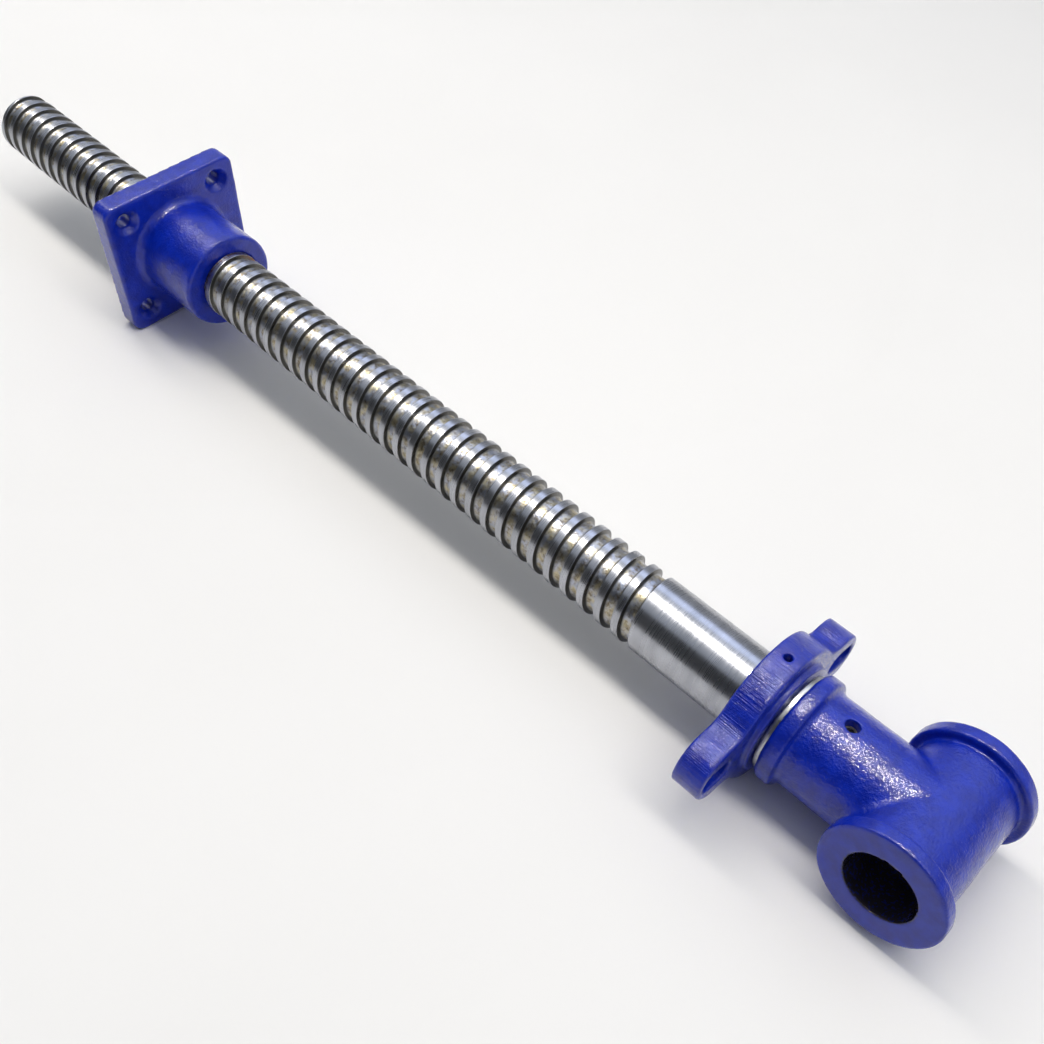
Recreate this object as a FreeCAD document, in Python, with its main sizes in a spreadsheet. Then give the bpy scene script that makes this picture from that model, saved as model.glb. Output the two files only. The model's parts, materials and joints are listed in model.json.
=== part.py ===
"""Woodworking vise screw set: trapezoidal screw, flanged nut, bearing flange and cross head.

Units are millimetres.  The origin is on the screw's axis at the back (mounting) face of the
bearing flange.  +X runs along the screw towards the head, +Y along the bearing flange's long
axis and +Z is up.
"""

import FreeCAD, Part
import math
import os
import re
import Sketcher

DIMENSIONS = {
    # trapezoidal thread, 28 mm over the crests and 8 mm pitch, single start, right hand
    "thread_diameter": 28.0,
    "thread_pitch": 8.0,
    "thread_depth": 2.0,
    "thread_crest_width": 2.93,
    "thread_half_angle": 15.0,
    "nut_crest_diameter": 25.0,
    "nut_root_diameter": 29.0,
    "thread_end_play": 0.3,
    "cutter_overrun": 0.6,
    # spindle
    "spindle_free_end": 453.0,
    "spindle_end_chamfer": 1.8,
    "groove_start": 464.0,
    "groove_run": 420.8,
    "journal_groove_width": 4.0,
    "journal_groove_depth": 2.5,
    "spigot_diameter": 20.0,
    "spigot_length": 32.0,
    "spigot_chamfer": 1.0,
    # bearing flange
    "flange_thickness": 10.4,
    "flange_disc_diameter": 52.0,
    "flange_length": 85.0,
    "flange_ear_width": 21.0,
    "flange_ear_blend": 9.0,
    "flange_edge_round": 0.9,
    "flange_boss_diameter": 41.0,
    "flange_boss_height": 2.0,
    "flange_boss_round": 0.8,
    "flange_bore_clearance": 0.08,
    "slot_spacing": 67.0,
    "slot_width": 9.0,
    "slot_length": 13.0,
    # retaining pin in the flange's rim
    "retaining_pin_diameter": 3.0,
    "retaining_pin_length": 8.0,
    "retaining_pin_tip_gap": 0.6,
    # thrust washer
    "washer_outer_diameter": 36.0,
    "washer_thickness": 2.0,
    "washer_gap_front": 0.4,
    "washer_gap_back": 0.1,
    "washer_edge_round": 0.3,
    # head: neck and cross barrel
    "head_collar_diameter": 40.5,
    "head_collar_length": 6.0,
    "head_collar_round": 1.5,
    "head_neck_diameter": 35.0,
    "head_neck_blend": 2.0,
    "head_reach": 50.4,
    "barrel_diameter": 35.6,
    "barrel_length": 56.0,
    "barrel_collar_diameter": 42.4,
    "barrel_collar_width": 5.4,
    "barrel_collar_round": 1.0,
    "barrel_neck_blend": 4.0,
    "handle_bore_diameter": 24.0,
    "socket_depth": 33.0,
    "socket_clearance": 0.02,
    "head_turn": -2.9,
    # spring pin across the neck
    "head_pin_diameter": 4.8,
    "head_pin_wall": 0.9,
    "head_pin_slit": 0.8,
    "head_pin_length": 28.0,
    "head_pin_position": 16.6,
    # flanged nut; the leads are in turns of the thread before and after the nut's own length
    "nut_position": 330.0,
    "nut_turn": 5.3,
    "nut_groove_lead_in": 13.5,
    "nut_groove_lead_out": 3.5,
    "plate_side": 64.0,
    "plate_thickness": 9.4,
    "plate_corner_round": 5.0,
    "plate_edge_round": 1.2,
    "nut_boss_diameter": 41.6,
    "nut_boss_length": 34.6,
    "nut_boss_blend": 3.5,
    "nut_mouth_round": 1.5,
    "nut_relief_diameter": 30.0,
    "nut_relief_depth": 1.5,
    "nut_hole_circle": 63.6,
    "nut_hole_diameter": 6.0,
    "nut_countersink_diameter": 11.4,
}

doc = FreeCAD.newDocument("ViseScrewSet")
sheet = doc.addObject("Spreadsheet::Sheet", "Dimensions")
for row, (alias, value) in enumerate(DIMENSIONS.items(), start=1):
    sheet.set("A%d" % row, alias)
    sheet.set("B%d" % row, str(value))
    sheet.setAlias("B%d" % row, alias)
doc.recompute()

ALIAS = re.compile(r"[a-z_]{4,}")
TOUCH = 1e-3
AXIAL = 0.99
SEEDED = 0.01


def formula(text):
    """An expression on the sheet's cells, from their aliases."""
    return ALIAS.sub(lambda match: "Dimensions." + match.group(0), text)


def new_body(label):
    """An empty body, whose label names its node."""
    body = doc.addObject("PartDesign::Body", label)
    body.Label = label
    return body


def origin_feature(body, role):
    """A plane or axis of the body's own origin."""
    return next(item for item in body.Origin.OriginFeatures if item.Role == role)


def new_sketch(body, name, role):
    """A sketch on one of the body's origin planes."""
    sketch = body.newObject("Sketcher::SketchObject", name)
    sketch.AttachmentSupport = [(origin_feature(body, role), "")]
    sketch.MapMode = "FlatFace"
    return sketch


def shift_sketch(sketch, distance):
    """Moves a sketch along its own normal by a distance given as a formula."""
    sketch.setExpression("AttachmentOffset.Base.z", formula(distance))


def turn_sketch(sketch, degrees):
    """Turns a sketch about its own first axis, which is the screw's axis."""
    turned = FreeCAD.Rotation(FreeCAD.Vector(1, 0, 0), degrees)
    sketch.AttachmentOffset = FreeCAD.Placement(FreeCAD.Vector(0, 0, 0), turned)
    doc.recompute()


def pin_point(sketch, geometry, point, across, up):
    """Fixes a point of a sketch at two formulas measured from the sketch's origin."""
    for kind, text, axis in (("DistanceX", across, -2), ("DistanceY", up, -1)):
        if text == "0":
            sketch.addConstraint(Sketcher.Constraint("PointOnObject", geometry, point, axis))
            continue
        drawn = sketch.getPoint(geometry, point)
        start = drawn.x if kind == "DistanceX" else drawn.y
        start = start if abs(start) > SEEDED else 1.0
        index = sketch.addConstraint(Sketcher.Constraint(kind, -1, 1, geometry, point, start))
        sketch.setExpression("Constraints[%d]" % index, formula(text))


def outline(sketch, corners):
    """A closed outline of straight lines through corners given as pairs of formulas."""
    count = len(corners)
    ring = []
    for step in range(count):
        turn = 2 * math.pi * step / count
        ring.append(FreeCAD.Vector(math.cos(turn), math.sin(turn), 0))
    for step in range(count):
        sketch.addGeometry(Part.LineSegment(ring[step], ring[(step + 1) % count]), False)
    for step in range(count):
        sketch.addConstraint(Sketcher.Constraint("Coincident", step, 2, (step + 1) % count, 1))
    for step, (across, up) in enumerate(corners):
        pin_point(sketch, step, 1, across, up)


def circle(sketch, diameter, across="0", up="0"):
    """A circle with its diameter and centre given as formulas."""
    middle = FreeCAD.Vector(0, 0, 0)
    index = sketch.addGeometry(Part.Circle(middle, FreeCAD.Vector(0, 0, 1), 1.0), False)
    pin_point(sketch, index, 3, across, up)
    bound = sketch.addConstraint(Sketcher.Constraint("Diameter", index, 2.0))
    sketch.setExpression("Constraints[%d]" % bound, formula(diameter))


def stadium(sketch, length, width, spacing=None, side=1):
    """A round-ended bar along the sketch's first direction, sized by named cells.

    With a spacing it is one of two, half the spacing to one side of the origin.
    """
    half = DIMENSIONS[width] / 2
    reach = (DIMENSIONS[length] - DIMENSIONS[width]) / 2
    middle = side * DIMENSIONS[spacing] / 2 if spacing else 0.0
    middle_formula = "%d * %s / 2" % (side, spacing) if spacing else "0 * %s" % length
    reach_formula = "(%s - %s) / 2" % (length, width)
    quarter = math.pi / 2
    normal = FreeCAD.Vector(0, 0, 1)
    right = FreeCAD.Vector(middle + reach, 0, 0)
    left = FreeCAD.Vector(middle - reach, 0, 0)
    up = FreeCAD.Vector(0, half, 0)
    pieces = (
        Part.ArcOfCircle(Part.Circle(right, normal, half), -quarter, quarter),
        Part.LineSegment(right + up, left + up),
        Part.ArcOfCircle(Part.Circle(left, normal, half), quarter, 3 * quarter),
        Part.LineSegment(left - up, right - up),
    )
    for piece in pieces:
        sketch.addGeometry(piece, False)
    for step in range(4):
        sketch.addConstraint(Sketcher.Constraint("Tangent", step, 2, (step + 1) % 4, 1))
    sketch.addConstraint(Sketcher.Constraint("Equal", 0, 2))
    pin_point(sketch, 0, 3, "%s + %s" % (middle_formula, reach_formula), "0")
    pin_point(sketch, 2, 3, "%s - %s" % (middle_formula, reach_formula), "0")
    radius = sketch.addConstraint(Sketcher.Constraint("Radius", 0, half))
    sketch.setExpression("Constraints[%d]" % radius, formula("%s / 2" % width))


def pad(body, name, sketch, length, both_ways=False):
    """Adds a sketch's outline, pulled out over a length."""
    feature = body.newObject("PartDesign::Pad", name)
    feature.Profile = sketch
    feature.setExpression("Length", formula(length))
    feature.Midplane = both_ways
    return settle(body, feature, +1)


def pocket(body, name, sketch, length, both_ways=False, backwards=False):
    """Cuts a sketch's outline away over a length."""
    feature = body.newObject("PartDesign::Pocket", name)
    feature.Profile = sketch
    feature.setExpression("Length", formula(length))
    feature.Midplane = both_ways
    feature.Reversed = backwards
    return settle(body, feature, -1)


def revolve(body, name, sketch, cut=False):
    """Turns a sketch about its first axis, to add or to cut a ring."""
    kind = "PartDesign::Groove" if cut else "PartDesign::Revolution"
    feature = body.newObject(kind, name)
    feature.Profile = sketch
    feature.ReferenceAxis = (sketch, ["H_Axis"])
    feature.Angle = 360
    return settle(body, feature, -1 if cut else +1)


def helical_cut(body, name, sketch, run):
    """A right-hand thread groove about the sketch's first axis."""
    feature = body.newObject("PartDesign::SubtractiveHelix", name)
    feature.Profile = sketch
    feature.ReferenceAxis = (sketch, ["H_Axis"])
    feature.Mode = "pitch-height-angle"
    feature.setExpression("Pitch", formula("thread_pitch"))
    feature.setExpression("Height", formula(run))
    feature.Angle = 0
    feature.LeftHanded = False
    feature.Reversed = False
    return settle(body, feature, -1)


def round_edges(body, name, radius, chosen):
    """Rounds the tip's edges that the test picks."""
    base = body.Tip
    names = []
    for number, edge in enumerate(base.Shape.Edges, start=1):
        if chosen(edge):
            names.append("Edge%d" % number)
    if not names:
        raise RuntimeError("no edge for " + name)
    feature = body.newObject("PartDesign::Fillet", name)
    feature.Base = (base, names)
    feature.setExpression("Radius", formula(radius))
    return settle(body, feature, 0)


def settle(body, feature, sign):
    """Recomputes, makes the feature the tip and checks that it added or removed material."""
    before = body.Shape.Volume if not body.Shape.isNull() else 0.0
    doc.recompute()
    body.Tip = feature
    doc.recompute()
    change = body.Shape.Volume - before
    if sign * change < 0 or (sign and abs(change) < TOUCH):
        raise RuntimeError("%s changed the volume by %.3f" % (feature.Label, change))
    return feature


def place(body, along, turn=0.0):
    """Puts a body at a distance along the screw, turned about it."""
    axis = FreeCAD.Vector(1, 0, 0)
    body.Placement = FreeCAD.Placement(FreeCAD.Vector(along, 0, 0), FreeCAD.Rotation(axis, turn))


def is_circle(edge, radius, along=None):
    """True for a circle of a radius, if asked at a distance along the screw."""
    curve = edge.Curve
    if not isinstance(curve, Part.Circle) or abs(curve.Radius - radius) > TOUCH:
        return False
    return along is None or abs(edge.CenterOfMass.x - along) < TOUCH


def runs_along(edge):
    """True for an edge parallel to the screw."""
    return abs(edge.tangentAt(edge.FirstParameter).x) > AXIAL


def is_slot_edge(edge):
    """True for an edge within a slot's own width of the flange's long axis."""
    return max(abs(vertex.Z) for vertex in edge.Vertexes) < DIMENSIONS["slot_width"] / 2 + TOUCH


def is_barrel_seam(edge):
    """True for the closed seam where the neck runs into the barrel."""
    across = abs(edge.CenterOfMass.x - DIMENSIONS["head_reach"])
    plain = isinstance(edge.Curve, (Part.Circle, Part.Line))
    return across < DIMENSIONS["barrel_diameter"] / 2 and not plain


STACK = ("flange_thickness", "flange_boss_height", "washer_gap_front",
         "washer_thickness", "washer_gap_back")
HEAD_FACE = "(%s)" % " + ".join(STACK)
FLANK = "tan(thread_half_angle * 1deg)"
head_face = sum(DIMENSIONS[name] for name in STACK)


def thread_groove(sketch, middle, bottom_radius, top_radius, mouth_width, mouth_radius):
    """The trapezium that cuts a thread groove, about a middle distance along the axis."""
    widths = []
    for radius in (bottom_radius, top_radius):
        widths.append("((%s) / 2 + ((%s) - %s) * %s)" % (mouth_width, radius, mouth_radius, FLANK))
    outline(sketch, [
        ("%s - %s" % (middle, widths[0]), bottom_radius),
        ("%s - %s" % (middle, widths[1]), top_radius),
        ("%s + %s" % (middle, widths[1]), top_radius),
        ("%s + %s" % (middle, widths[0]), bottom_radius),
    ])


# Spindle: one turned bar.  Thread, plain shank, journal with a groove, then a spigot.
spindle = new_body("spindle")
blank = new_sketch(spindle, "spindle_profile", "XZ_Plane")
outline(blank, [
    ("-spindle_free_end", "0"),
    ("-spindle_free_end", "thread_diameter / 2 - spindle_end_chamfer"),
    ("-spindle_free_end + spindle_end_chamfer", "thread_diameter / 2"),
    (HEAD_FACE, "thread_diameter / 2"),
    (HEAD_FACE, "spigot_diameter / 2"),
    (HEAD_FACE + " + spigot_length - spigot_chamfer", "spigot_diameter / 2"),
    (HEAD_FACE + " + spigot_length", "spigot_diameter / 2 - spigot_chamfer"),
    (HEAD_FACE + " + spigot_length", "0"),
])
revolve(spindle, "spindle_blank", blank)

journal_groove = new_sketch(spindle, "journal_groove_profile", "XZ_Plane")
outline(journal_groove, [
    ("(flange_thickness - journal_groove_width) / 2", "thread_diameter / 2 - journal_groove_depth"),
    ("(flange_thickness + journal_groove_width) / 2", "thread_diameter / 2 - journal_groove_depth"),
    ("(flange_thickness + journal_groove_width) / 2", "thread_diameter / 2 + cutter_overrun"),
    ("(flange_thickness - journal_groove_width) / 2", "thread_diameter / 2 + cutter_overrun"),
])
revolve(spindle, "journal_groove", journal_groove, cut=True)

# The spigot is drilled together with the head, so its hole has the head's turn.
cross_hole = new_sketch(spindle, "spigot_hole_profile", "XY_Plane")
circle(cross_hole, "head_pin_diameter", HEAD_FACE + " + head_pin_position")
turn_sketch(cross_hole, DIMENSIONS["head_turn"])
pocket(spindle, "spigot_hole", cross_hole, "2 * spigot_diameter", both_ways=True)

screw_groove = new_sketch(spindle, "thread_groove_profile", "XZ_Plane")
thread_groove(
    screw_groove,
    "-groove_start",
    "thread_diameter / 2 - thread_depth",
    "thread_diameter / 2 + cutter_overrun",
    "thread_pitch - thread_crest_width",
    "thread_diameter / 2",
)
helical_cut(spindle, "thread", screw_groove, "groove_run")


# Flanged nut: square plate with a round boss.  Its own origin is at the plate's back face.
nut = new_body("nut_flange")
plate = new_sketch(nut, "plate_outline", "YZ_Plane")
outline(plate, [
    ("-plate_side / 2", "-plate_side / 2"),
    ("plate_side / 2", "-plate_side / 2"),
    ("plate_side / 2", "plate_side / 2"),
    ("-plate_side / 2", "plate_side / 2"),
])
pad(nut, "plate", plate, "plate_thickness")
round_edges(nut, "plate_corners", "plate_corner_round", runs_along)

boss = new_sketch(nut, "boss_outline", "YZ_Plane")
circle(boss, "nut_boss_diameter")
pad(nut, "boss", boss, "plate_thickness + nut_boss_length")
boss_radius = DIMENSIONS["nut_boss_diameter"] / 2
plate_front = DIMENSIONS["plate_thickness"]
mouth = plate_front + DIMENSIONS["nut_boss_length"]
round_edges(nut, "boss_blend", "nut_boss_blend", lambda edge: (
    is_circle(edge, boss_radius, plate_front)))
round_edges(nut, "mouth_round", "nut_mouth_round", lambda edge: (
    is_circle(edge, boss_radius, mouth)))
round_edges(nut, "plate_edge", "plate_edge_round", lambda edge: (
    abs(edge.CenterOfMass.x - plate_front) < TOUCH
    and math.hypot(edge.CenterOfMass.y, edge.CenterOfMass.z) > boss_radius))

nut_bore = new_sketch(nut, "bore_outline", "YZ_Plane")
circle(nut_bore, "nut_crest_diameter")
pocket(nut, "bore", nut_bore, "plate_thickness + nut_boss_length", backwards=True)
relief = new_sketch(nut, "relief_outline", "YZ_Plane")
circle(relief, "nut_relief_diameter")
pocket(nut, "relief", relief, "nut_relief_depth", backwards=True)

# Countersunk screw holes on the plate's diagonals, drilled from the boss side.
hole = new_sketch(nut, "hole_profile", "XY_Plane")
outline(hole, [
    ("-cutter_overrun", "nut_hole_circle / 2"),
    ("-cutter_overrun", "nut_hole_circle / 2 + nut_hole_diameter / 2"),
    ("plate_thickness - (nut_countersink_diameter - nut_hole_diameter) / 2",
     "nut_hole_circle / 2 + nut_hole_diameter / 2"),
    ("plate_thickness", "nut_hole_circle / 2 + nut_countersink_diameter / 2"),
    ("plate_thickness + cutter_overrun", "nut_hole_circle / 2 + nut_countersink_diameter / 2"),
    ("plate_thickness + cutter_overrun", "nut_hole_circle / 2"),
])
turn_sketch(hole, 45)
drilled = nut.newObject("PartDesign::Groove", "hole")
drilled.Profile = hole
drilled.ReferenceAxis = (hole, ["Edge6"])
drilled.Angle = 360
settle(nut, drilled, -1)
holes = nut.newObject("PartDesign::PolarPattern", "holes")
holes.Originals = [drilled]
holes.Axis = (origin_feature(nut, "X_Axis"), [""])
holes.Angle = 360
holes.Occurrences = 4
settle(nut, holes, -1)

# The nut's groove follows the screw's ridge, half a pitch away from the screw's groove.
nut_groove = new_sketch(nut, "thread_groove_profile", "XZ_Plane")
RIDGE = "(nut_position - groove_start + thread_pitch * (nut_turn / 360 + nut_groove_lead_in))"
NUT_RUN = "plate_thickness + nut_boss_length + nut_groove_lead_out * thread_pitch"
thread_groove(
    nut_groove,
    RIDGE,
    "nut_crest_diameter / 2 - cutter_overrun",
    "nut_root_diameter / 2",
    "thread_crest_width + 2 * thread_end_play",
    "thread_diameter / 2",
)
helical_cut(nut, "thread", nut_groove, NUT_RUN)
place(nut, -DIMENSIONS["nut_position"], DIMENSIONS["nut_turn"])


# Bearing flange: round centre, two slotted ears, a low boss that carries the thrust.
flange = new_body("bearing_flange")
disc = new_sketch(flange, "disc_outline", "YZ_Plane")
circle(disc, "flange_disc_diameter")
pad(flange, "disc", disc, "flange_thickness")
ears = new_sketch(flange, "ears_outline", "YZ_Plane")
stadium(ears, "flange_length", "flange_ear_width")
pad(flange, "ears", ears, "flange_thickness")
disc_radius = DIMENSIONS["flange_disc_diameter"] / 2
round_edges(flange, "ear_blend", "flange_ear_blend", lambda edge: (
    runs_along(edge)
    and abs(math.hypot(edge.CenterOfMass.y, edge.CenterOfMass.z) - disc_radius) < TOUCH))

for side in (-1, 1):
    slot = new_sketch(flange, "slot_outline", "YZ_Plane")
    stadium(slot, "slot_length", "slot_width", "slot_spacing", side)
    pocket(flange, "slot", slot, "flange_thickness", backwards=True)

round_edges(flange, "front_edge", "flange_edge_round", lambda edge: (
    abs(edge.CenterOfMass.x - DIMENSIONS["flange_thickness"]) < TOUCH
    and not is_slot_edge(edge)))

thrust_boss = new_sketch(flange, "boss_outline", "YZ_Plane")
circle(thrust_boss, "flange_boss_diameter")
pad(flange, "boss", thrust_boss, "flange_thickness + flange_boss_height")
thrust_face = DIMENSIONS["flange_thickness"] + DIMENSIONS["flange_boss_height"]
round_edges(flange, "boss_edge", "flange_boss_round", lambda edge: (
    is_circle(edge, DIMENSIONS["flange_boss_diameter"] / 2, thrust_face)))
journal_bore = new_sketch(flange, "bore_outline", "YZ_Plane")
circle(journal_bore, "thread_diameter + 2 * flange_bore_clearance")
pocket(flange, "bore", journal_bore, "flange_thickness + flange_boss_height", backwards=True)
pin_hole = new_sketch(flange, "pin_hole_outline", "XY_Plane")
circle(pin_hole, "retaining_pin_diameter", "flange_thickness / 2")
pocket(flange, "pin_hole", pin_hole, "flange_disc_diameter", backwards=True)


# Retaining pin: pressed into the rim's hole, its tip inside the journal's groove.
retaining_pin = new_body("retaining_pin")
pin_profile = new_sketch(retaining_pin, "pin_outline", "XY_Plane")
circle(pin_profile, "retaining_pin_diameter", "flange_thickness / 2")
shift_sketch(pin_profile, "thread_diameter / 2 - journal_groove_depth + retaining_pin_tip_gap")
pad(retaining_pin, "pin", pin_profile, "retaining_pin_length")


# Thrust washer on the journal, between the flange's boss and the head.
washer = new_body("thrust_washer")
ring = new_sketch(washer, "washer_outline", "YZ_Plane")
circle(ring, "washer_outer_diameter")
circle(ring, "thread_diameter + 2 * flange_bore_clearance")
shift_sketch(ring, "flange_thickness + flange_boss_height + washer_gap_front")
pad(washer, "washer", ring, "washer_thickness")
round_edges(washer, "washer_edge", "washer_edge_round", lambda edge: (
    is_circle(edge, DIMENSIONS["washer_outer_diameter"] / 2)))


# Head: neck on the screw's axis and a collared cross barrel.  Its origin is at its inner face.
head = new_body("head")
neck = new_sketch(head, "neck_profile", "XZ_Plane")
outline(neck, [
    ("0", "0"),
    ("0", "head_collar_diameter / 2"),
    ("head_collar_length", "head_collar_diameter / 2"),
    ("head_collar_length", "head_neck_diameter / 2"),
    ("head_reach", "head_neck_diameter / 2"),
    ("head_reach", "0"),
])
revolve(head, "neck", neck)
round_edges(head, "collar_round", "head_collar_round", lambda edge: (
    is_circle(edge, DIMENSIONS["head_collar_diameter"] / 2)))
round_edges(head, "collar_blend", "head_neck_blend", lambda edge: (
    is_circle(edge, DIMENSIONS["head_neck_diameter"] / 2, DIMENSIONS["head_collar_length"])))

barrel = new_sketch(head, "barrel_outline", "XZ_Plane")
circle(barrel, "barrel_diameter", "head_reach")
pad(head, "barrel", barrel, "barrel_length", both_ways=True)
round_edges(head, "barrel_blend", "barrel_neck_blend", is_barrel_seam)

for side in ("-1", "1"):
    collar = new_sketch(head, "barrel_collar_outline", "XZ_Plane")
    circle(collar, "barrel_collar_diameter", "head_reach")
    shift_sketch(collar, side + " * (barrel_length - barrel_collar_width) / 2")
    pad(head, "barrel_collar", collar, "barrel_collar_width", both_ways=True)
round_edges(head, "barrel_collar_rounds", "barrel_collar_round", lambda edge: (
    is_circle(edge, DIMENSIONS["barrel_collar_diameter"] / 2)))

handle_bore = new_sketch(head, "handle_bore_outline", "XZ_Plane")
circle(handle_bore, "handle_bore_diameter", "head_reach")
pocket(head, "handle_bore", handle_bore, "2 * barrel_length", both_ways=True)
socket = new_sketch(head, "socket_outline", "YZ_Plane")
circle(socket, "spigot_diameter + 2 * socket_clearance")
pocket(head, "socket", socket, "socket_depth", backwards=True)
neck_hole = new_sketch(head, "pin_hole_outline", "XY_Plane")
circle(neck_hole, "head_pin_diameter", "head_pin_position")
pocket(head, "pin_hole", neck_hole, "2 * head_collar_diameter", both_ways=True)
place(head, head_face, DIMENSIONS["head_turn"])


# Head pin: a slit spring pin that locks the head to the spigot.
head_pin = new_body("head_pin")
tube = new_sketch(head_pin, "pin_outline", "XY_Plane")
circle(tube, "head_pin_diameter", "head_pin_position")
circle(tube, "head_pin_diameter - 2 * head_pin_wall", "head_pin_position")
pad(head_pin, "tube", tube, "head_pin_length", both_ways=True)
slit = new_sketch(head_pin, "slit_outline", "XY_Plane")
outline(slit, [
    ("head_pin_position", "-head_pin_slit / 2"),
    ("head_pin_position + head_pin_diameter", "-head_pin_slit / 2"),
    ("head_pin_position + head_pin_diameter", "head_pin_slit / 2"),
    ("head_pin_position", "head_pin_slit / 2"),
])
pocket(head_pin, "slit", slit, "2 * head_pin_length", both_ways=True)
place(head_pin, head_face, DIMENSIONS["head_turn"])

doc.recompute()
bodies = (spindle, nut, flange, retaining_pin, washer, head, head_pin)
for item in doc.Objects:
    if "Invalid" in item.State or "Error" in item.State:
        raise RuntimeError("%s failed: %s" % (item.Label, item.State))
for body in bodies:
    if body.Shape.isNull() or not body.Shape.isValid():
        raise RuntimeError("%s has no valid shape" % body.Label)

os.makedirs("parts", exist_ok=True)
for body in bodies:
    body.Shape.exportStep("parts/%s.step" % body.Label)
    box = body.Shape.BoundBox
    print("%-15s volume %9.1f solids %d x %.2f..%.2f" % (
        body.Label, body.Shape.Volume, len(body.Shape.Solids), box.XMin, box.XMax))
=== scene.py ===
"""Looks of a bench vise screw set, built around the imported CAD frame.

Lengths in the tables below are millimetres; meshes are built in metres.
"""

import json
import math

import bpy
import numpy as np
from mathutils import Matrix, Vector, noise


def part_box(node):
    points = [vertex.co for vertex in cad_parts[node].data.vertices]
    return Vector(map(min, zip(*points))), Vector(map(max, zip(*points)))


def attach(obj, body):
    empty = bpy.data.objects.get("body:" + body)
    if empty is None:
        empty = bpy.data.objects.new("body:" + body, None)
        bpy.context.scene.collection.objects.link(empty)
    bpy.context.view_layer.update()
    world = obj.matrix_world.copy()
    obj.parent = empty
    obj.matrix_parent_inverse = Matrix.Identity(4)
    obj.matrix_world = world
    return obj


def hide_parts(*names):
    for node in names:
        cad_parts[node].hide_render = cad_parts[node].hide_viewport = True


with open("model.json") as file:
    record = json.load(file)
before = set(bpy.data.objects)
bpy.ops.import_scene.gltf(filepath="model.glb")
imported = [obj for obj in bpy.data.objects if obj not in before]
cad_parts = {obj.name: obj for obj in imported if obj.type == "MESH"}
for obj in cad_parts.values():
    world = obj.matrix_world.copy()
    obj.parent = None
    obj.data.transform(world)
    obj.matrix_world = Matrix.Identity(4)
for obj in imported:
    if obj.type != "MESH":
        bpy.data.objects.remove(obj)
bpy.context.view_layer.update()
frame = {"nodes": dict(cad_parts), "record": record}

MM = 0.001
nodes = frame["nodes"]


# ---------------------------------------------------------------- camera, floor and light

CAMERA_PLACE = Vector((0.08357, -0.22911, 0.31093))
CAMERA_AZIMUTH = 39.745
CAMERA_ELEVATION = 46.685
CAMERA_ROLL = 7.208
CAMERA_LENS = 40.837
SENSOR_WIDTH = 36.0

FLOOR_HALF = 12.0
FLOOR_GAP = 0.0002
BARREL_OFFSET = 0.013


def make_camera():
    data = bpy.data.cameras.new("camera")
    data.lens = CAMERA_LENS
    data.sensor_width = SENSOR_WIDTH
    data.clip_start = 0.01
    data.clip_end = 100.0
    camera = bpy.data.objects.new("camera", data)
    bpy.context.scene.collection.objects.link(camera)
    azimuth = math.radians(CAMERA_AZIMUTH)
    elevation = math.radians(CAMERA_ELEVATION)
    towards = Vector((-math.sin(azimuth) * math.cos(elevation),
                      math.cos(azimuth) * math.cos(elevation),
                      -math.sin(elevation)))
    level = towards.to_track_quat("-Z", "Y")
    roll = Matrix.Rotation(math.radians(-CAMERA_ROLL), 4, towards)
    camera.matrix_world = Matrix.Translation(CAMERA_PLACE) @ roll @ level.to_matrix().to_4x4()
    bpy.context.scene.camera = camera


def area_light(name, place, target, width, depth, radiance, colour, shine_only=False):
    """A rectangular softbox of a given radiance that looks at a point.

    One made for its reflection only casts no light on matt surfaces.
    """
    data = bpy.data.lights.new(name, "AREA")
    data.shape = "RECTANGLE"
    data.size = width
    data.size_y = depth
    data.energy = radiance * math.pi * width * depth
    data.color = colour
    light = bpy.data.objects.new(name, data)
    light.location = place
    aim = Vector(target) - Vector(place)
    light.rotation_euler = aim.to_track_quat("-Z", "Y").to_euler()
    light.visible_camera = False
    light.visible_diffuse = not shine_only
    bpy.context.scene.collection.objects.link(light)


def make_world():
    """A dim room, darker in front of the object than behind it, seen as a plain pale backdrop."""
    world = bpy.data.worlds.new("studio")
    bpy.context.scene.world = world
    world.use_nodes = True
    tree = world.node_tree
    tree.nodes.clear()
    where = tree.nodes.new("ShaderNodeTexCoord")
    split = tree.nodes.new("ShaderNodeSeparateXYZ")
    ramp = tree.nodes.new("ShaderNodeMapRange")
    ramp.inputs["From Min"].default_value = -0.6
    ramp.inputs["From Max"].default_value = 0.8
    ramp.inputs["To Min"].default_value = 0.06
    ramp.inputs["To Max"].default_value = 0.42
    room = tree.nodes.new("ShaderNodeBackground")
    room.inputs["Color"].default_value = (0.92, 0.95, 1.0, 1.0)
    backdrop = tree.nodes.new("ShaderNodeBackground")
    backdrop.inputs["Color"].default_value = (1.0, 1.0, 1.0, 1.0)
    backdrop.inputs["Strength"].default_value = 0.96
    path = tree.nodes.new("ShaderNodeLightPath")
    choose = tree.nodes.new("ShaderNodeMixShader")
    out = tree.nodes.new("ShaderNodeOutputWorld")
    link = tree.links.new
    link(where.outputs["Generated"], split.inputs[0])
    link(split.outputs["Y"], ramp.inputs["Value"])
    link(ramp.outputs["Result"], room.inputs["Strength"])
    link(path.outputs["Is Camera Ray"], choose.inputs["Fac"])
    link(room.outputs[0], choose.inputs[1])
    link(backdrop.outputs[0], choose.inputs[2])
    link(choose.outputs[0], out.inputs["Surface"])


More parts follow.
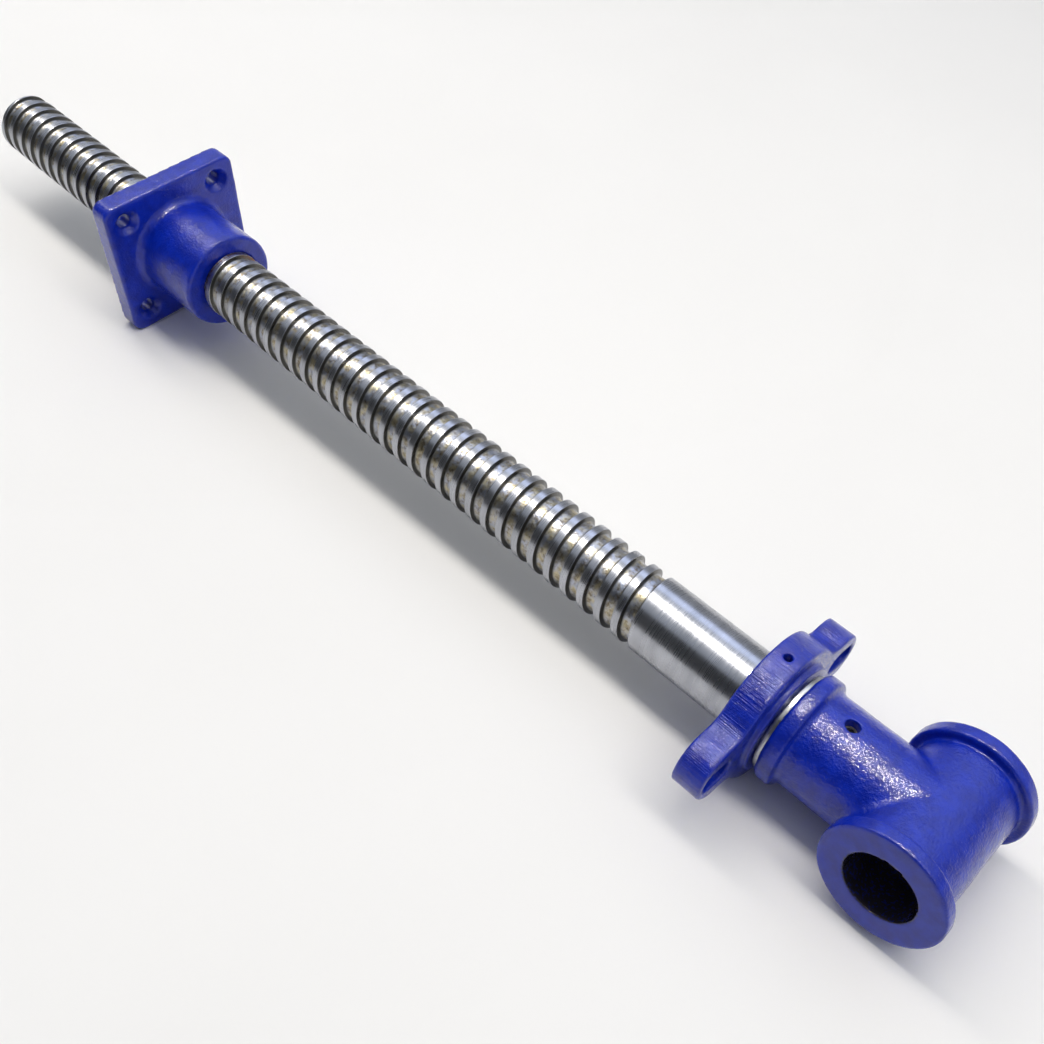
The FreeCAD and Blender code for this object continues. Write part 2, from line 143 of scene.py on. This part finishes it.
def make_floor(material):
    """A pale floor under the object's two lowest places, the nut's plate and the cross barrel."""
    nut_low, nut_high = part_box("nut_flange")
    head_low, head_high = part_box("head")
    nut_x = nut_low.x
    barrel_x = (head_high.x + head_low.x) / 2 + BARREL_OFFSET
    slope = (head_low.z - nut_low.z) / (barrel_x - nut_x)
    mesh = bpy.data.meshes.new("floor")
    corners = []
    for x, y in ((-1, -1), (1, -1), (1, 1), (-1, 1)):
        x, y = x * FLOOR_HALF, y * FLOOR_HALF
        corners.append((x, y, nut_low.z + slope * (x - nut_x) - FLOOR_GAP))
    mesh.from_pydata(corners, [], [(0, 1, 2, 3)])
    floor = bpy.data.objects.new("floor", mesh)
    floor.data.materials.append(material)
    bpy.context.scene.collection.objects.link(floor)


# ---------------------------------------------------------------- material helpers

class Shader:
    """A material's node tree, with short calls for the nodes used here."""

    def __init__(self, name):
        self.material = bpy.data.materials.new(name)
        self.material.use_nodes = True
        self.tree = self.material.node_tree
        self.shader = self.tree.nodes["Principled BSDF"]
        self.place = self.node("ShaderNodeTexCoord").outputs["Object"]

    def node(self, kind, **settings):
        made = self.tree.nodes.new(kind)
        for name, value in settings.items():
            setattr(made, name, value)
        return made

    def link(self, source, target):
        self.tree.links.new(source, target)
        return target

    def set(self, **values):
        for name, value in values.items():
            self.shader.inputs[name.replace("_", " ")].default_value = value

    def stretched(self, across):
        """The object's coordinates scaled by a factor for each axis."""
        scale = self.node("ShaderNodeVectorMath", operation="MULTIPLY")
        scale.inputs[1].default_value = across
        self.link(self.place, scale.inputs[0])
        return scale.outputs[0]

    def noise(self, scale, detail=2.0, roughness=0.5, where=None):
        texture = self.node("ShaderNodeTexNoise")
        texture.inputs["Scale"].default_value = scale
        texture.inputs["Detail"].default_value = detail
        texture.inputs["Roughness"].default_value = roughness
        self.link(where or self.place, texture.inputs["Vector"])
        return texture.outputs["Fac"]

    def remap(self, value, low, high, to_low, to_high):
        node = self.node("ShaderNodeMapRange")
        for name, number in (("From Min", low), ("From Max", high),
                             ("To Min", to_low), ("To Max", to_high)):
            node.inputs[name].default_value = number
        self.link(value, node.inputs["Value"])
        return node.outputs["Result"]

    def mix(self, factor, first, second):
        """A colour between two, each a colour or a socket."""
        node = self.node("ShaderNodeMix", data_type="RGBA")
        self.link(factor, node.inputs[0])
        for socket, value in ((node.inputs[6], first), (node.inputs[7], second)):
            if isinstance(value, tuple):
                socket.default_value = value + (1.0,)
            else:
                self.link(value, socket)
        return node.outputs[2]

    def blend(self, factor, first, second):
        """A number between a socket's and a fixed one."""
        node = self.node("ShaderNodeMix", data_type="FLOAT")
        self.link(factor, node.inputs[0])
        self.link(first, node.inputs[2])
        node.inputs[3].default_value = second
        return node.outputs[0]

    def times(self, first, second):
        node = self.node("ShaderNodeMath", operation="MULTIPLY")
        self.link(first, node.inputs[0])
        if isinstance(second, float):
            node.inputs[1].default_value = second
        else:
            self.link(second, node.inputs[1])
        return node.outputs[0]

    def plus(self, first, second):
        node = self.node("ShaderNodeMath", operation="ADD")
        self.link(first, node.inputs[0])
        self.link(second, node.inputs[1])
        return node.outputs[0]

    def mark(self, name):
        """A number kept on the mesh's points."""
        return self.node("ShaderNodeAttribute", attribute_name=name).outputs["Fac"]

    def bump(self, height, distance, strength=1.0, below=None):
        node = self.node("ShaderNodeBump")
        node.inputs["Strength"].default_value = strength
        node.inputs["Distance"].default_value = distance
        self.link(height, node.inputs["Height"])
        if below:
            self.link(below, node.inputs["Normal"])
        return node.outputs[0]

    def finish(self, colour=None, roughness=None, normal=None):
        if colour is not None:
            self.link(colour, self.shader.inputs["Base Color"])
        if roughness is not None:
            self.link(roughness, self.shader.inputs["Roughness"])
        if normal is not None:
            self.link(normal, self.shader.inputs["Normal"])
            self.link(normal, self.shader.inputs["Coat Normal"])
        return self.material


# ---------------------------------------------------------------- materials

def enamel(name, streaks=0.0):
    """Glossy blue enamel over cast iron: orange peel, lighter edges (thin paint and a painted
    highlight), bare bores.
    """
    s = Shader(name)
    blue = s.mix(s.remap(s.noise(220.0, 3.0), 0.35, 0.65, 0.0, 1.0),
                 (0.0008, 0.014, 0.30), (0.0016, 0.022, 0.42))
    # Convex edges turn a lighter blue: partly thinner paint, partly a painted edge highlight.
    edge = s.remap(s.node("ShaderNodeNewGeometry").outputs["Pointiness"], 0.53, 0.62, 0.0, 0.45)
    thin_paint_and_edge_highlight = s.times(edge, s.remap(s.noise(500.0), 0.3, 0.7, 0.2, 1.0))
    blue = s.mix(thin_paint_and_edge_highlight, blue, (0.012, 0.04, 0.50))
    dust = s.remap(s.noise(1500.0, 1.0), 0.62, 0.74, 0.0, 0.35)
    blue = s.mix(dust, blue, (0.006, 0.028, 0.48))
    speckle = s.remap(s.noise(1100.0, 2.0), 0.56, 0.62, 0.0, 1.0)
    bare = s.mix(speckle, (0.018, 0.015, 0.022), (0.010, 0.018, 0.16))
    in_bore = s.mark("bare")
    colour = s.mix(in_bore, blue, bare)
    gloss = s.remap(s.noise(350.0, 2.0), 0.3, 0.7, 0.30, 0.44)
    machined = s.mark("machined")
    rough = s.blend(in_bore, s.blend(machined, gloss, 0.52), 0.62)
    flat = s.remap(s.plus(machined, in_bore), 0.0, 1.0, 1.0, 0.25)
    peel = s.bump(s.times(s.noise(1050.0, 2.0, 0.6), flat), 0.00022, 1.0)
    normal = s.bump(s.times(s.noise(2600.0, 1.0), flat), 0.00007, 1.0, peel)
    if streaks:
        lines = s.noise(1.0, 2.0, 0.6, s.stretched((30.0, 1900.0, 1900.0)))
        normal = s.bump(lines, 0.00030 * streaks, 0.9, normal)
    s.set(Metallic=0.0, IOR=1.45, Specular_IOR_Level=0.10,
          Coat_Weight=0.85, Coat_Roughness=0.05, Coat_IOR=1.5)
    return s.finish(colour, rough, normal)


def turned_steel():
    """Bright turned steel: rings of tool marks, mottled and stained roots, painted shade on the
    thread flanks and a trace of rust by the nut.
    """
    s = Shader("turned_steel")
    rings = s.noise(1.0, 3.0, 0.6, s.stretched((2600.0, 30.0, 30.0)))
    bands = s.noise(1.0, 2.0, 0.5, s.stretched((160.0, 60.0, 60.0)))
    bright = s.mix(s.remap(bands, 0.3, 0.7, 0.0, 1.0), (0.34, 0.35, 0.38), (0.44, 0.45, 0.49))
    depth = s.mark("depth")
    in_root = s.remap(depth, 0.70, 0.99, 0.0, 1.0)
    # Painted shade: the thread flanks between crest and root darken to near black.
    flank_painted_shade = s.times(s.remap(depth, 0.02, 0.12, 0.0, 1.0), s.remap(depth, 0.70, 0.995, 1.0, 0.0))
    # Yellowish and bluish mottle over the thread roots, with dark brown stain spots.
    root_mottle = s.mix(s.remap(s.noise(260.0, 2.0), 0.38, 0.62, 0.0, 1.0),
                 (0.52, 0.46, 0.30), (0.42, 0.45, 0.54))
    spots = s.remap(s.noise(420.0, 4.0, 0.7), 0.46, 0.66, 0.0, 0.9)
    stain = s.mix(spots, root_mottle, (0.15, 0.105, 0.045))
    colour = s.mix(s.times(in_root, 0.9), bright, stain)
    # The painted flank shade is mixed in here.
    colour = s.mix(s.times(flank_painted_shade, 0.85), colour, (0.055, 0.05, 0.035))
    rust = s.times(s.mark("rust"), s.remap(s.noise(700.0, 3.0), 0.42, 0.6, 0.0, 1.0))
    colour = s.mix(rust, colour, (0.24, 0.09, 0.03))
    rough = s.remap(rings, 0.3, 0.7, 0.24, 0.36)
    rough = s.plus(rough, s.times(in_root, 0.10))
    normal = s.bump(rings, 0.000012, 0.4)
    normal = s.bump(s.noise(2400.0, 1.0), 0.000012, 0.5, normal)
    torn = s.times(s.noise(1.0, 2.0, 0.6, s.stretched((700.0, 420.0, 420.0))), in_root)
    normal = s.bump(torn, 0.00030, 0.8, normal)
    around = s.node("ShaderNodeTangent", direction_type="RADIAL", axis="X")
    s.link(around.outputs[0], s.shader.inputs["Tangent"])
    s.set(Metallic=1.0, Anisotropic=0.6, Anisotropic_Rotation=0.25)
    return s.finish(colour, rough, normal)


def washer_steel():
    s = Shader("washer_steel")
    grain = s.noise(1.0, 3.0, 0.6, s.stretched((5000.0, 260.0, 260.0)))
    colour = s.mix(s.remap(grain, 0.3, 0.7, 0.0, 1.0), (0.42, 0.42, 0.41), (0.60, 0.60, 0.58))
    rough = s.remap(s.noise(600.0, 2.0), 0.3, 0.7, 0.24, 0.40)
    s.set(Metallic=1.0, Anisotropic=0.3)
    return s.finish(colour, rough, s.bump(grain, 0.00002, 0.5))


def pin_steel():
    s = Shader("pin_steel")
    colour = s.mix(s.remap(s.noise(900.0, 3.0), 0.35, 0.65, 0.0, 1.0),
                   (0.05, 0.05, 0.055), (0.16, 0.15, 0.15))
    rough = s.remap(s.noise(1500.0, 2.0), 0.3, 0.7, 0.30, 0.5)
    s.set(Metallic=1.0)
    return s.finish(colour, rough, s.bump(s.noise(2200.0, 2.0), 0.00002, 0.6))


def floor_paper():
    s = Shader("floor_paper")
    colour = s.mix(s.remap(s.noise(6.0, 2.0), 0.3, 0.7, 0.0, 1.0),
                   (0.89, 0.87, 0.84), (0.91, 0.89, 0.86))
    s.set(Roughness=0.9, Specular_IOR_Level=0.2)
    return s.finish(colour, None, s.bump(s.noise(900.0, 2.0), 0.00005, 0.2))


# ---------------------------------------------------------------- mesh helpers

def new_piece(name, mesh, material, body, slot, *stands_for):
    piece = bpy.data.objects.new(name, mesh)
    bpy.context.scene.collection.objects.link(piece)
    mesh.materials.clear()
    mesh.materials.append(material)
    mesh.polygons.foreach_set("use_smooth", [True] * len(mesh.polygons))
    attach(piece, body)
    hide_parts(*stands_for)
    return piece


def put_mark(mesh, name, values):
    attribute = mesh.attributes.new(name, "FLOAT", "POINT")
    attribute.data.foreach_set("value", np.asarray(values, np.float32))


def points_of(mesh):
    co = np.empty(len(mesh.vertices) * 3, np.float32)
    mesh.vertices.foreach_get("co", co)
    return co.reshape(-1, 3).astype(float)


def normals_of(mesh):
    out = np.empty(len(mesh.vertices) * 3, np.float32)
    mesh.vertices.foreach_get("normal", out)
    return out.reshape(-1, 3).astype(float)


def cast_mesh(node, voxel, rounds):
    """The node's shape as an even skin of small faces, with a casting's softened corners."""
    source = nodes[node]
    temp = bpy.data.objects.new("cast_" + node, source.data.copy())
    bpy.context.scene.collection.objects.link(temp)
    weld = temp.modifiers.new("weld", "WELD")
    weld.merge_threshold = 1e-6
    remesh = temp.modifiers.new("remesh", "REMESH")
    remesh.mode = "VOXEL"
    remesh.voxel_size = voxel * MM
    soften = temp.modifiers.new("soften", "SMOOTH")
    soften.factor = 0.5
    soften.iterations = rounds
    view = bpy.context.evaluated_depsgraph_get()
    mesh = bpy.data.meshes.new_from_object(temp.evaluated_get(view))
    bpy.data.objects.remove(temp)
    return mesh


def lumps(points, scale, seed):
    """Smooth noise at each point, from -1 to 1, with features about 1/scale mm wide."""
    shift = Vector((seed * 7.3, seed * 3.1, seed * 5.7))
    return np.array([noise.noise(Vector(p) * scale + shift) for p in points])


def barrel_axes():
    """The turn of the head about the screw, read from its cross bore in the record."""
    for mount in frame["record"]["mounts"]:
        if mount["name"] == "handle_bore":
            return Vector(mount["pos_m"]) / MM, Vector(mount["axis"])
    raise RuntimeError("the record has no handle bore")


# ---------------------------------------------------------------- screw

THREAD_PITCH = 8.0
CREST_RADIUS = 14.0
ROOT_RADIUS = 12.0
GROOVE_MOUTH = 5.07
GROOVE_START = -464.0
GROOVE_TURNS = 52.6
RUN_OUT_TURNS = 0.16
COLUMNS = 112
SPIGOT_RADIUS = 10.0
SPIGOT_LENGTH = 32.0
END_CHAMFER = 1.8
RUST_GAP = 1.5
RUST_WIDTH = 1.3
RUST_SHARE = 0.9


def thread_profile():
    """One pitch of the thread as distances along the axis and depths from 0 at the crest to 1."""
    mouth = GROOVE_MOUTH / 2
    half = [
        (THREAD_PITCH / 2 - 0.001, 0.0),
        (3.55, 0.012),
        (3.1, 0.006),
        (2.78, 0.0),
        (mouth + 0.07, 0.008),
        (mouth - 0.01, 0.05),
        (mouth - 0.11, 0.20),
        (mouth - 0.24, 0.45),
        (mouth - 0.34, 0.62),
        (mouth - 0.50, 0.78),
        (mouth - 0.76, 0.90),
        (mouth - 1.12, 0.97),
        (0.7, 1.0),
    ]
    left = [(-along, depth) for along, depth in half]
    right = list(reversed(half))
    return left + [(0.0, 1.0)] + right[:-1]


def screw_mesh():
    """The screw as one helical grid: end face, thread, shank and spigot."""
    low, high = (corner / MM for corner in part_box("spindle"))
    journal_end = high.x - SPIGOT_LENGTH
    profile = thread_profile()
    per_pitch = len(profile)
    first = int((low.x - GROOVE_START) / THREAD_PITCH) - 3
    last = int((high.x - GROOVE_START) / THREAD_PITCH) + 3
    turns = np.arange(first, last)
    along = np.array([step[0] for step in profile])
    depth = np.array([step[1] for step in profile])
    rows_along = (turns[:, None] * THREAD_PITCH + along[None, :]).ravel()
    rows_turn = np.repeat(turns.astype(float), per_pitch)
    rows_depth = np.tile(depth, len(turns))
    share = np.arange(COLUMNS) / COLUMNS
    x = GROOVE_START + rows_along[:, None] + THREAD_PITCH * share[None, :]
    turn = rows_turn[:, None] + share[None, :]
    fade = np.clip((GROOVE_TURNS - turn) / RUN_OUT_TURNS, 0.0, 1.0)
    deep = rows_depth[:, None] * fade
    radius = CREST_RADIUS - (CREST_RADIUS - ROOT_RADIUS) * deep
    end_x = low.x
    chamfer = CREST_RADIUS - END_CHAMFER + np.clip(x - end_x, 0.0, END_CHAMFER)
    radius = np.minimum(radius, chamfer)
    radius = np.where(x > journal_end, SPIGOT_RADIUS, radius)
    before = np.clip((end_x - x) / THREAD_PITCH, 0.0, 1.0)
    after = np.clip((x - high.x) / THREAD_PITCH, 0.0, 1.0)
    radius = radius * (1.0 - before) * (1.0 - after)
    x = np.clip(x, end_x, high.x)
    angle = 2 * math.pi * share + math.pi / 2
    y = radius * np.cos(angle)[None, :]
    z = radius * np.sin(angle)[None, :]
    rows = len(rows_along)
    points = np.stack([x, y, z], axis=-1).reshape(-1, 3)
    faces = []
    row = np.arange(rows - 1)
    for column in range(COLUMNS):
        here = row * COLUMNS + column
        if column < COLUMNS - 1:
            beside = here + 1
            faces.append(np.stack([here, here + COLUMNS, beside + COLUMNS, beside], axis=1))
        else:
            beside = (row + per_pitch) * COLUMNS
            keep = row + per_pitch + 1 < rows
            ring = np.stack([here, here + COLUMNS, beside + COLUMNS, beside], axis=1)
            faces.append(ring[keep])
    faces = np.concatenate(faces)
    mesh = bpy.data.meshes.new("screw")
    mesh.from_pydata((points * MM).tolist(), [], faces.tolist())
    put_mark(mesh, "depth", deep.ravel())
    nut_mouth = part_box("nut_flange")[1].x / MM
    near = np.exp(-((points[:, 0] - nut_mouth - RUST_GAP) / RUST_WIDTH) ** 2)
    put_mark(mesh, "rust", RUST_SHARE * near)
    return mesh


# ---------------------------------------------------------------- castings

JOURNAL_BORE_RADIUS = 14.08
HANDLE_BORE_RADIUS = 12.0
NUT_BORE_LIMIT = 15.2
NUT_BARE_DEPTH = 2.5
MACHINED_SHARE = 0.7

def set_points(mesh, points):
    mesh.vertices.foreach_set("co", (points * MM).astype(np.float32).ravel())
    mesh.update()


def true_up(values, target, reach):
    """Moves values within reach of a target onto it, as a machined face is true."""
    return np.where(np.abs(values - target) < reach, target, values)


def true_bore(points, radius, reach, middle, axis):
    """Puts points near a bore's wall exactly on it. Returns the points and the share on it."""
    axis = np.array(axis, float)
    offset = points - np.array(middle, float)
    along = offset @ axis
    radial = offset - along[:, None] * axis
    length = np.linalg.norm(radial, axis=1)
    on_wall = np.abs(length - radius) < reach
    scale = np.where(on_wall, radius / np.maximum(length, 1e-9), 1.0)
    return np.array(middle) + along[:, None] * axis + radial * scale[:, None], on_wall


def roughen(mesh, points, hold, seed, size=0.07, fine=0.04, sway=0.22):
    """Gives a cast skin its uneven outline, low waves and pits, except where hold is 1."""
    set_points(mesh, points)
    normals = normals_of(mesh)
    wave = lumps(points, 0.16, seed) * size + lumps(points, 0.75, seed + 1) * fine
    wave += lumps(points, 0.06, seed + 2) * sway
    set_points(mesh, points + normals * (wave * (1.0 - hold))[:, None])


def nut_casting(material):
    low, high = (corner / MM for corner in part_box("nut_flange"))
    mesh = cast_mesh("nut_flange", 0.5, 2)
    points = points_of(mesh) / MM
    back = low.x
    radial = np.hypot(points[:, 1], points[:, 2])
    at_back = np.abs(points[:, 0] - back) < 0.35
    points[:, 0] = true_up(points[:, 0], back, 0.3)
    bore = np.clip((NUT_BORE_LIMIT - radial) / 0.5, 0.0, 1.0)
    inside = np.clip((high.x - NUT_BARE_DEPTH - points[:, 0]) / 2.0, 0.0, 1.0)
    hold = np.maximum(bore, at_back.astype(float))
    roughen(mesh, points, hold, 3)
    put_mark(mesh, "bare", bore * inside)
    put_mark(mesh, "machined", at_back.astype(float) * MACHINED_SHARE)
    return new_piece("nut_casting", mesh, material, "nut", "blue_enamel", "nut_flange")


def bearing_casting(material):
    low, high = (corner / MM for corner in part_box("bearing_flange"))
    mesh = cast_mesh("bearing_flange", 0.42, 2)
    points = points_of(mesh) / MM
    at_back = np.abs(points[:, 0] - low.x) < 0.3
    at_boss = np.abs(points[:, 0] - high.x) < 0.25
    points[:, 0] = true_up(points[:, 0], low.x, 0.25)
    points[:, 0] = true_up(points[:, 0], high.x, 0.2)
    points, in_bore = true_bore(points, JOURNAL_BORE_RADIUS, 0.35, (0, 0, 0), (1, 0, 0))
    hold = np.maximum(at_back, np.maximum(at_boss, in_bore)).astype(float)
    roughen(mesh, points, hold, 11, 0.06, 0.04, 0.12)
    put_mark(mesh, "bare", in_bore.astype(float))
    put_mark(mesh, "machined", at_back.astype(float) * MACHINED_SHARE)
    return new_piece("bearing_casting", mesh, material, "bearing", "blue_enamel", "bearing_flange")


def head_casting(material):
    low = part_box("head")[0] / MM
    middle, axis = barrel_axes()
    mesh = cast_mesh("head", 0.48, 2)
    points = points_of(mesh) / MM
    across = (points - np.array(middle)) @ np.array(axis)
    face = np.abs(across).max()
    at_face = np.abs(np.abs(across) - face) < 0.3
    at_inner = np.abs(points[:, 0] - low.x) < 0.25
    points[:, 0] = true_up(points[:, 0], low.x, 0.2)
    points, in_bore = true_bore(points, HANDLE_BORE_RADIUS, 0.4, middle, axis)
    hold = np.maximum(at_inner, in_bore).astype(float)
    hold = np.maximum(hold, at_face * 0.6)
    roughen(mesh, points, hold, 23)
    put_mark(mesh, "bare", in_bore.astype(float))
    put_mark(mesh, "machined", at_face.astype(float))
    return new_piece("head_casting", mesh, material, "screw", "blue_enamel", "head")


def washer_ring(material):
    """A punched washer: rolled edge on one face, a fine burr on the other, slightly dished."""
    low, high = (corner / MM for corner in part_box("thrust_washer"))
    outer = high.z
    inner = JOURNAL_BORE_RADIUS
    thick = high.x - low.x
    section = [
        (low.x + 0.02, inner + 0.25), (low.x, inner + 0.6), (low.x + 0.015, inner + 1.6),
        (low.x + 0.01, outer - 1.2), (low.x + 0.03, outer - 0.65), (low.x + 0.12, outer - 0.3),
        (low.x + 0.32, outer - 0.08), (low.x + 0.62, outer), (low.x + thick * 0.6, outer - 0.015),
        (high.x - 0.18, outer), (high.x - 0.05, outer - 0.06), (high.x, outer - 0.2),
        (high.x - 0.02, outer - 0.6), (high.x - 0.015, inner + 1.4), (high.x - 0.01, inner + 0.4),
        (high.x - 0.12, inner + 0.08), (high.x - 0.4, inner), (low.x + 0.3, inner),
    ]
    steps = 160
    points = []
    for x, radius in section:
        for step in range(steps):
            turn = 2 * math.pi * step / steps
            points.append((x * MM, radius * MM * math.cos(turn), radius * MM * math.sin(turn)))
    faces = []
    count = len(section)
    for ring in range(count):
        following = (ring + 1) % count
        for step in range(steps):
            beside = (step + 1) % steps
            faces.append((ring * steps + step, ring * steps + beside,
                          following * steps + beside, following * steps + step))
    mesh = bpy.data.meshes.new("washer_ring")
    mesh.from_pydata(points, [], faces)
    return new_piece("washer_ring", mesh, material, "washer", "washer_steel", "thrust_washer")


# ---------------------------------------------------------------- the scene

bpy.context.scene.view_settings.view_transform = "Standard"
make_camera()
make_world()
make_floor(floor_paper())
area_light("overhead", (-0.45, 0.20, 1.30), (-0.45, 0.20, 0.0),
           4.7, 2.7, 0.50, (0.82, 0.89, 1.0))
area_light("panel", (-0.60, 0.06, 1.29), (-0.60, 0.06, 0.0),
           3.2, 0.26, 7.0, (1.0, 0.97, 0.93))
area_light("side", (-0.30, 1.00, 1.10), (-0.30, 0.0, 0.0),
           3.0, 0.55, 1.3, (0.60, 0.70, 1.0), shine_only=True)
area_light("strip", (-0.60, 0.02, 1.20), (-0.60, 0.02, 0.0),
           1.30, 0.05, 8.0, (1.0, 0.86, 0.62), shine_only=True)
area_light("lamp", (-0.12, 0.02, 1.18), (-0.05, 0.0, 0.0),
           0.12, 0.12, 210.0, (1.0, 0.95, 0.86), shine_only=True)
area_light("end", (1.30, -0.20, 0.45), (0.0, 0.0, 0.0),
           1.2, 0.9, 0.6, (0.90, 0.94, 1.0), shine_only=True)

cast_blue = enamel("cast_enamel")
flange_blue = enamel("flange_enamel", streaks=1.0)
steel = turned_steel()
pins = pin_steel()

screw = screw_mesh()
new_piece("bench_screw", screw, steel, "screw", "turned_steel", "spindle")
nut_casting(cast_blue)
bearing_casting(flange_blue)
head_casting(cast_blue)
washer_ring(washer_steel())
for name in ("head_pin", "retaining_pin"):
    nodes[name].data.materials.clear()
    nodes[name].data.materials.append(pins)
